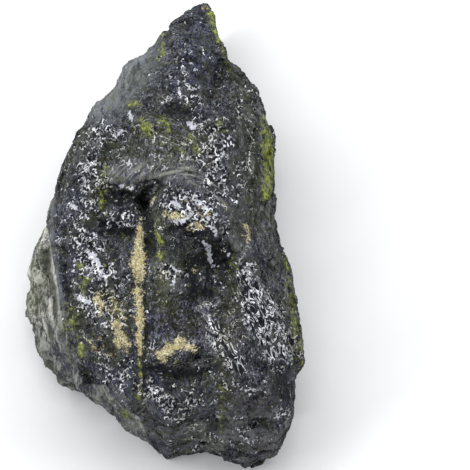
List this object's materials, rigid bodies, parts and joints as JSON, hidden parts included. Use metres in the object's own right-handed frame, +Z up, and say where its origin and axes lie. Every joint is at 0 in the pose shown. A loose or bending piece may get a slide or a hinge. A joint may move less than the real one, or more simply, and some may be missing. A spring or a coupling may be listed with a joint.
{
  "type": "rough jade stone",
  "caption": "Rough unworked jade stone: a dark, broken block with a fractured upper face, drawn out to a blunt spire and lying on its flattest side.",
  "frame": {"origin": "on the resting face, under the middle of the stone's bounding box", "axes": "+Z up from the resting face, +Y along the stone towards its spire, +X to the right seen from above"},
  "size_m": [0.1446, 0.2394, 0.0958],
  "materials": {
    "jade": "satin"
  },
  "bodies": {
    "root": {"rough_jade": "jade"}
  },
  "joints": []
}
